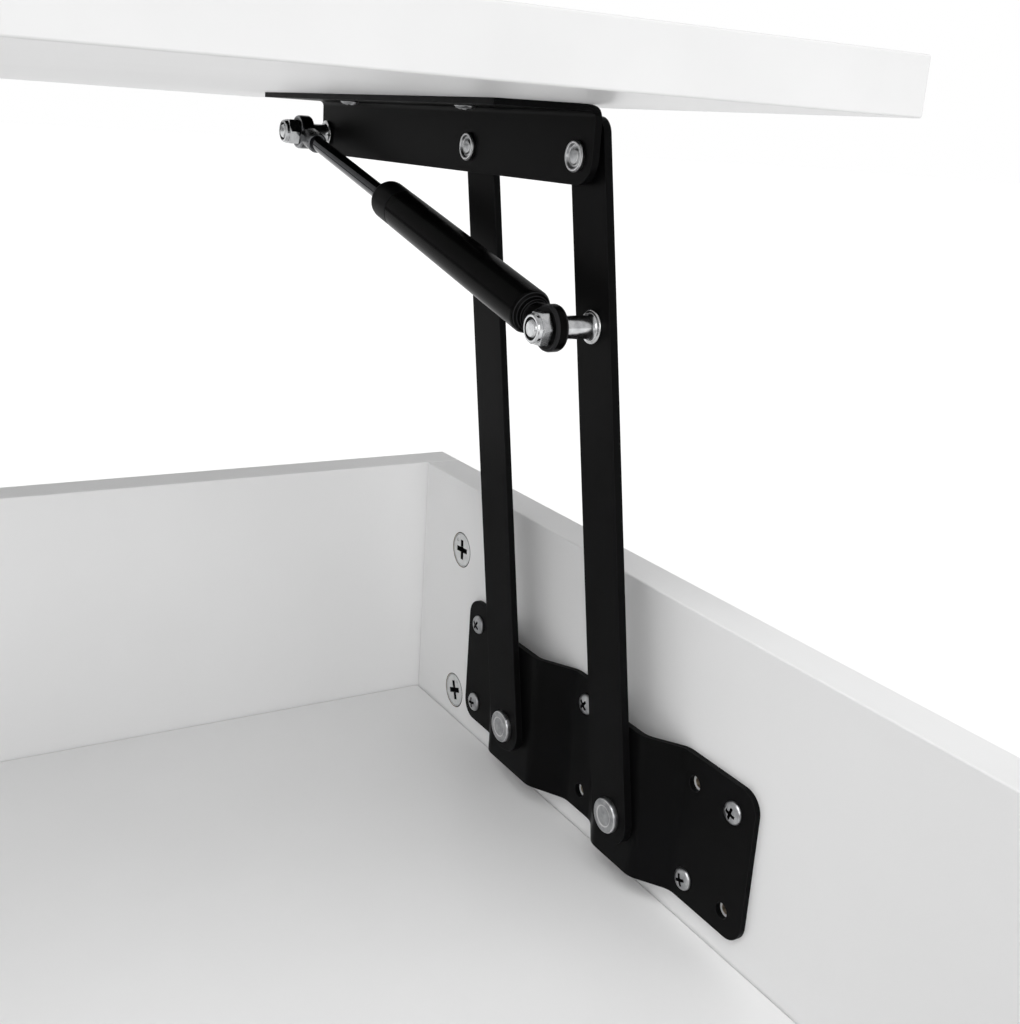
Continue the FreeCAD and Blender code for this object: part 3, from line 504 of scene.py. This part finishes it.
# ---------------------------------------------------------------- knock-down fittings
def cam_lock():
    """Cast cam with a raised rim, a cross recess with a round middle, and an arrow."""
    chamfer = 0.6
    inner = CAM_RADIUS - CAM_RIM
    body = turned([(-CAM_LENGTH, 0), (-CAM_LENGTH, 6.7), (-11.6, CAM_RADIUS), (-chamfer, CAM_RADIUS),
                   (-0.05, inner), (0, 6.75), (-CAM_SUNK, 6.6), (-CAM_SUNK, 0)], steps=48)
    # The chamfer round the face takes the second finish: painted shade of the gap between cam and bore.
    for face in body.faces:
        middle = face.calc_center_median() / MM
        if middle.x > -chamfer and middle.yz.length > inner:
            face.material_index = 1
    body = carved(body, cross_tool(CAM_RECESS, CAM_WING, CAM_DEPTH))
    body = carved(body, turned([(-2.6, 0), (-2.6, 1.1), (0.5, 1.7), (0.5, 0)], steps=24))
    arrow = prism(3, ARROW_RADIUS * MM, ARROW_DEPTH * MM,
                  (-CAM_SUNK * MM, ARROW_OUT * MM, ARROW_OUT * MM))
    # The bevels take the castings' darker rim tone, painted shade along the edges.
    return soften(carved(body, arrow), 0.12, above=50, steps=1)


def make_cam_locks():
    """Every cam lock of the case, each at its own turn."""
    master = cam_lock()
    castings = []
    for i, (low, high) in enumerate(solids_of("cam_locks")):
        size = high - low
        middle = (low + high) / 2
        if size.x < size.z:
            facing = Vector((-math.copysign(1, middle.x), 0, 0))
        else:
            facing = Vector((0, 0, -1))
        surface = middle + facing * min(size) / 2
        castings.append(moved(master.copy(), pointing(surface, facing, CAM_TURN + CAM_TURN_STEP * i)))
    master.free()
    piece("cam_lock_castings", gathered(castings), "case", "zinc_casting", ["cam_locks"],
          [zinc_casting, recess_painted_shade])


def make_glides():
    """Six moulded nylon glides with a sunk hole for the nail."""
    pads = []
    for low, high in solids_of("foot_glides"):
        middle = (low + high) / 2
        tall = (high.z - low.z) / MM
        wide = (high.x - low.x) / 2 / MM
        pad = ring([(0, 2.4), (0, wide - 1.4), (1.2, wide - 0.3), (tall, wide), (tall, 1.1),
                    (2.2, 1.1)], edge=0.3, steps=40)
        pads.append(moved(pad, pointing(Vector((middle.x, middle.y, low.z)), Vector((0, 0, 1)))))
    piece("moulded_foot_glides", gathered(pads), "case", "nylon", ["foot_glides"])


# ---------------------------------------------------------------- lift
def make_sheet_metal():
    """Base plates, arms and top brackets, with the small round that pressing leaves on an edge."""
    steel = "black_powder_coated_steel"
    both_sides("base_plate_pressing", soften(from_cad("left_base_plate"), SHEET_EDGE), "case", steel,
               ["base_plate"])
    for arm in ("front_arm", "rear_arm"):
        both_sides(f"{arm}_bar", soften(from_cad(f"left_{arm}"), ARM_EDGE), f"left_{arm}", steel,
                   [arm])
    both_sides("top_bracket_pressing", soften(from_cad("left_top_bracket"), SHEET_EDGE), "lid", steel,
               ["top_bracket"])


def driven_screw(head, shank_end, turn):
    """A screw turned about X with a cross recess. head is its corners from the shank outwards."""
    top = head[-1][0]
    under_head = head[0][0]
    along = shank_end + TIP_LENGTH
    shank = [(shank_end, 0), (along, TIP_RADIUS)]
    while along < under_head - 2 * THREAD_PITCH:
        shank += [(along, CORE_RADIUS), (along + THREAD_PITCH / 2, CREST_RADIUS)]
        along += THREAD_PITCH
    shank += [(along, NECK_RADIUS), (under_head, NECK_RADIUS)]
    body = turned(shank + head, steps=40)
    tool = moved(cross_tool(SCREW_RECESS, RECESS_WING, RECESS_DEPTH),
                 Matrix.Translation((top * MM, 0, 0)) @ Matrix.Rotation(math.radians(turn), 4, "X"))
    return soften(carved(body, tool), 0.08, above=45, steps=1)


def make_screws():
    """Low-domed screws in the base plates, and raised countersunk ones in the brackets' flanges."""
    dome = [(0, 3.75), (0.55, 3.75), (1.1, 3.35), (1.5, 2.5), (1.72, 1.3), (1.75, 0)]
    screws = []
    for (low, high), turn in zip(solids_of("left_plate_screws"), (12, -35, 50, 20, -15)):
        middle = (low + high) / 2
        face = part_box("left_base_plate")[0].x + PLATE_THICK * MM
        reach = (low.x - face) / MM
        screws.append(moved(driven_screw(dome, reach, turn),
                            Matrix.Translation((face, middle.y, middle.z))))
    both_sides("plate_screw_set", gathered(screws), "case", "zinc_plated_steel", ["plate_screws"],
               [zinc_plate, recess_painted_shade])

    sunk = [(-3.5, 1.75), (-1.6, 3.65), (-1.25, 3.7), (-0.6, 3.0), (-0.15, 1.7), (0, 0)]
    screws = []
    for (low, high), turn in zip(solids_of("left_bracket_screws"), (30, -10)):
        middle = (low + high) / 2
        reach = -(high.z - low.z) / MM
        screws.append(moved(driven_screw(sunk, reach, turn),
                            pointing(Vector((middle.x, middle.y, low.z)), Vector((0, 0, -1)))))
    both_sides("bracket_screw_set", gathered(screws), "lid", "zinc_plated_steel", ["bracket_screws"],
               [zinc_plate, recess_painted_shade])


def rivets(node, head):
    """Pivot rivets from their boxes. head is the head's corners, measured from its top."""
    shapes = []
    for low, high in solids_of(node):
        middle = (low + high) / 2
        length = (high.x - low.x) / MM
        corners = [(0, 0), (0, 4.9), (0.3, 5.45), (RIVET_TAIL, 5.5), (RIVET_TAIL, RIVET_SHANK),
                   (length + head[0][0], RIVET_SHANK)]
        corners += [(length + along, radius) for along, radius in head]
        shapes.append(moved(turned(corners, edge=0.12),
                            Matrix.Translation((low.x, middle.y, middle.z))))
    return gathered(shapes)


def make_pivots():
    """The rivets that the arms turn on, with their washers and spacers."""
    flat_head = [(-2.0, 6.0), (-0.75, 6.0), (-0.22, 5.72), (0, 5.1), (0, 3.7), (-0.16, 3.5),
                 (-0.16, 3.1), (-0.04, 2.8), (0, 0)]
    both_sides("lower_rivets", rivets("left_lower_pins", flat_head), "case", "zinc_plated_steel",
               ["lower_pins"])
    dished_head = [(-1.5, 4.9), (-0.4, 4.9), (0, 4.45), (0, 3.85), (-1.0, 3.45), (-1.0, 2.8),
                   (-0.35, 2.3), (-0.15, 1.3), (-0.1, 0)]
    both_sides("upper_rivets", rivets("left_upper_pins", dished_head), "lid", "zinc_plated_steel",
               ["upper_pins"])
    for node, body in (("lower_washers", "case"), ("upper_spacers", "lid")):
        both_sides(f"{node}_moulded", soften(from_cad(f"left_{node}"), 0.15), body, "black_acetal",
                   [node])


# ---------------------------------------------------------------- gas strut
def threaded(start, end, radius):
    """Corners of a thread drawn as close rings."""
    corners = []
    along = start
    while along + THREAD_PITCH < end - THREAD_CHAMFER:
        corners += [(along, radius - THREAD_DEPTH), (along + THREAD_PITCH / 2, radius)]
        along += THREAD_PITCH
    return corners + [(along, radius - THREAD_DEPTH), (end - THREAD_PLAIN, radius),
                      (end, radius - THREAD_CHAMFER), (end, 0)]


def make_studs():
    """Shouldered studs of the strut, with their lock nuts.

    The arm's stud goes through the arm and is riveted over behind it. The bracket's stud starts
    at its flange, as its riveted tail is a piece of its own.
    """
    axis_x = middle_of("left_strut_tube").x
    for owner, node, eye_width in (("left_rear_arm", "arm", TUBE_EYE_WIDTH),
                                   ("left_strut_rod", "lid", ROD_EYE_WIDTH)):
        low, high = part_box(f"left_{node}_stud")
        nut_low, nut_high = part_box(f"left_{node}_nut")
        middle = (low + high) / 2
        shoulder_end = (axis_x - low.x) / MM - eye_width / 2 - EYE_GAP
        end = (nut_high.x - low.x) / MM + STUD_PROUD
        flange = 0.0
        corners = [(0, 0)]
        if node == "arm":
            flange = (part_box("left_rear_arm")[1].x - low.x) / MM
            corners += [(0, 4.3), (0.4, 4.8), (1.3, 4.8), (1.3, STUD_NECK), (flange, STUD_NECK)]
        corners += [(flange, FLANGE_RADIUS), (flange + 0.9, FLANGE_RADIUS), (flange + 1.2, 5.2),
                    (flange + 1.3, 4.4), (flange + 2.6, SHOULDER_RADIUS),
                    (shoulder_end, SHOULDER_RADIUS), (shoulder_end, 2.8)]
        body = turned(corners + threaded(shoulder_end + 0.3, end, STUD_RADIUS), edge=0.1)
        both_sides(f"{node}_stud_turning", moved(body, Matrix.Translation((low.x, middle.y, middle.z))),
                   owner, "zinc_plated_steel", [f"{node}_stud"], [bright_zinc])
        make_nut(node, owner, nut_low, nut_high)
    both_sides("stud_tail_riveted", soften(from_cad("left_stud_tail"), 0.35), "lid", "zinc_plated_steel",
               ["stud_tail"])


def make_nut(node, body, low, high):
    """Hexagon lock nut: a chamfered hexagon, a round collar, and a nylon ring inside it."""
    thick = (high.x - low.x) / MM
    corner_radius = (high.z - low.z) / 2
    middle = (low + high) / 2
    seat = thick - 1.7
    insert_start = thick - 1.6
    insert_end = thick - 0.35
    hexagon = prism(6, corner_radius, thick * MM, (thick * MM / 2, 0, 0))
    outside = turned([(0, 0), (0, 5.0), (0.45, 5.8), (thick - 2.1, 5.8), (thick - 1.65, 4.95),
                      (thick - 1.65, 4.75), (thick - 0.5, 4.7), (thick - 0.12, 4.45), (thick, 4.1),
                      (thick, 0)])
    shape = carved(hexagon, outside, "INTERSECT")
    bore = turned([(-1, 0), (-1, NUT_BORE), (seat, NUT_BORE), (seat, INSERT_SEAT),
                   (thick + 1, INSERT_SEAT), (thick + 1, 0)])
    shape = soften(carved(shape, bore), 0.1, above=40)
    insert = ring([(insert_start, INSERT_BORE), (insert_start, INSERT_RADIUS),
                   (insert_end, INSERT_RADIUS), (insert_end, INSERT_BORE)])
    for face in insert.faces:
        face.material_index = 1
    shape = moved(gathered([shape, insert]), Matrix.Translation((low.x, middle.y, middle.z)))
    both_sides(f"{node}_lock_nut", shape, body, "zinc_plated_steel", [f"{node}_nut"],
               [bright_zinc, acetal], sharp=30)


def eye_end(width, radius, neck, stud, direction):
    """An eye across the stud joined to a neck along the strut, with the stud's bore through it.

    neck is the neck's corners, measured from the stud.
    """
    half = width / 2
    body = ring([(-half, 2.0), (-half, radius), (half, radius), (half, 2.0)], edge=1.0)
    body = moved(body, Matrix.Translation(stud))
    shape = carved(body, moved(turned(neck, edge=0.15), pointing(stud, direction)), "UNION")
    bore = moved(turned([(-half - 1, 0), (-half - 1, EYE_BORE), (half + 1, EYE_BORE), (half + 1, 0)]),
                 Matrix.Translation(stud))
    return carved(shape, bore)


def make_strut():
    """Tube, collar, rod and eyes of each gas strut, laid out from its two studs."""
    down = AXES["left_strut_slide"].normalized()
    up = -down
    at_arm = middle_of("left_arm_stud")
    at_lid = middle_of("left_lid_stud")
    at_arm.x = at_lid.x = middle_of("left_strut_tube").x

    seam = TUBE_END - COLLAR_LENGTH
    bottom = TUBE_START + TUBE_BOTTOM
    tube = ring([(TUBE_START, 1.0), (TUBE_START, 5.9), (TUBE_START + 0.5, 6.3),
                 (TUBE_START + 0.7, 6.9), (TUBE_START + 2.0, TUBE_RADIUS), (seam, TUBE_RADIUS),
                 (seam, TUBE_BORE), (bottom, TUBE_BORE), (bottom, 1.0)], edge=0.2)
    both_sides("strut_tube_shell", moved(tube, pointing(at_arm, up)), "left_strut_tube",
               "black_painted_tube", ["strut_tube"])
    plug = seam - COLLAR_PLUG
    plug_radius = TUBE_BORE - 0.05
    lip = seam + COLLAR_SEAM
    collar = ring([(plug, plug_radius), (lip, plug_radius), (lip, 7.45), (TUBE_END - 3.4, TUBE_RADIUS),
                   (TUBE_END - 2.3, 7.35), (TUBE_END - 1.2, 6.85), (TUBE_END - 0.4, 6.0),
                   (TUBE_END, 4.9), (TUBE_END, 3.7), (TUBE_END - 0.8, ROD_BORE), (plug, ROD_BORE)],
                  edge=0.15)
    both_sides("strut_collar", moved(collar, pointing(at_arm, up)), "left_strut_tube", "black_acetal",
               ["strut_guide"])
    neck = [(NECK_START, 0), (NECK_START, 4.4), (7.6, 5.0), (9.2, 5.0), (9.5, 4.5), (10.1, 4.5),
            (10.4, 5.3), (TUBE_START, 5.3), (TUBE_START, 0)]
    eye = eye_end(TUBE_EYE_WIDTH, TUBE_EYE_RADIUS, neck, at_arm, up)
    both_sides("tube_eye_forging", eye, "left_strut_tube", "black_painted_tube", ["tube_eye"])

    rod = turned([(ROD_START, 0), (ROD_START, ROD_TENON), (ROD_EYE_END, ROD_TENON),
                  (ROD_EYE_END, ROD_RADIUS), (ROD_END, ROD_RADIUS), (ROD_END, 0)], edge=0.1)
    both_sides("polished_rod", moved(rod, pointing(at_lid, down)), "left_strut_rod", "chromed_rod",
               ["piston_rod"])
    neck = [(NECK_START, 0), (NECK_START, 3.6), (8.0, 4.2), (15.6, 4.2), (15.9, 4.0), (16.2, 4.2),
            (17.1, 4.2), (ROD_EYE_END, 3.9), (ROD_EYE_END, 0)]
    eye = eye_end(ROD_EYE_WIDTH, ROD_EYE_RADIUS, neck, at_lid, down)
    both_sides("rod_eye_forging", eye, "left_strut_rod", "dark_plated_steel", ["rod_eye"])


# ---------------------------------------------------------------- stage
def soft_sun(name, side, strength, spread):
    """A large and far studio light: even light from one side, its shadows softened by its spread."""
    lamp = bpy.data.lights.new(name, "SUN")
    lamp.energy = strength
    lamp.angle = math.radians(spread)
    item = bpy.data.objects.new(name, lamp)
    item.rotation_euler = Vector(side).to_track_quat("Z", "Y").to_euler()
    bpy.context.scene.collection.objects.link(item)


def make_surround(scene):
    """A white studio with one dim side, so that metal and black steel have contrast."""
    world = bpy.data.worlds.new("white_studio")
    world.use_nodes = True
    tree = world.node_tree
    direction = add(tree, "TexCoord").outputs["Generated"]
    away = add(tree, "VectorMath", {1: DIM_SIDE}, {0: direction}, operation="DOT_PRODUCT")
    spread = add(tree, "MapRange", {"From Min": -1.0, "From Max": 1.0},
                 {"Value": away.outputs["Value"]})
    dome = add(tree, "ValToRGB", links={"Fac": spread.outputs["Result"]})
    for stop, code, at in zip(dome.color_ramp.elements, DOME_TONES, (0.6, 0.9)):
        stop.color = linear(code)
        stop.position = at
    seen = add(tree, "LightPath").outputs["Is Camera Ray"]
    shown = add(tree, "Mix", {"B": linear("#FFFFFF")}, {"Factor": seen, "A": dome.outputs["Color"]},
                data_type="RGBA")
    tree.links.new(shown.outputs["Result"], tree.nodes["Background"].inputs["Color"])
    scene.world = world


def backdrop_paper():
    """Matt white paper whose far part is lit on its own, so that it fades into the white room."""
    paper = finish("matt_white_backdrop_paper", ("#D6D6D6", "#D9D9D9"), 400, (0.8, 0.9), 3, 0.01,
                   Emission_Color=linear("#FFFFFF"))
    tree = paper.node_tree
    place = add(tree, "TexCoord").outputs["Object"]
    away = add(tree, "VectorMath", links={0: place}, operation="LENGTH")
    glow = add(tree, "MapRange", dict(zip(("From Min", "From Max", "To Max"), BACKDROP_GLOW)),
               {"Value": away.outputs["Value"]})
    tree.links.new(glow.outputs["Result"], tree.nodes["Principled BSDF"].inputs["Emission Strength"])
    return paper


def make_stage():
    """A plain pale floor, soft white light all round, and the camera."""
    scene = bpy.context.scene
    scene.view_settings.view_transform = "Standard"
    make_surround(scene)

    sheet = bmesh.new()
    bmesh.ops.create_grid(sheet, x_segments=1, y_segments=1, size=FLOOR_REACH)
    mesh = bpy.data.meshes.new("studio_floor")
    sheet.to_mesh(mesh)
    sheet.free()
    mesh.materials.append(backdrop_paper())
    floor = bpy.data.objects.new("studio_floor", mesh)
    scene.collection.objects.link(floor)

    for name, side, strength, spread in LIGHTS:
        soft_sun(name, side, strength, spread)

    camera = bpy.data.objects.new("camera", bpy.data.cameras.new("camera"))
    camera.location = CAMERA_AT
    camera.rotation_euler = [math.radians(angle) for angle in CAMERA_TURN]
    camera.data.lens = CAMERA_LENS
    camera.data.clip_start = 0.01
    scene.collection.objects.link(camera)
    scene.camera = camera


def finish_cad_nodes():
    """Gives every CAD node the finish of its slot, for the few that no piece stands for."""
    for node in NODES.values():
        node.data.materials[0] = SLOTS[node.data.materials[0].name.split(".")[0]]


make_boards()
make_cam_locks()
make_glides()
make_sheet_metal()
make_screws()
make_pivots()
make_studs()
make_strut()
finish_cad_nodes()
make_stage()
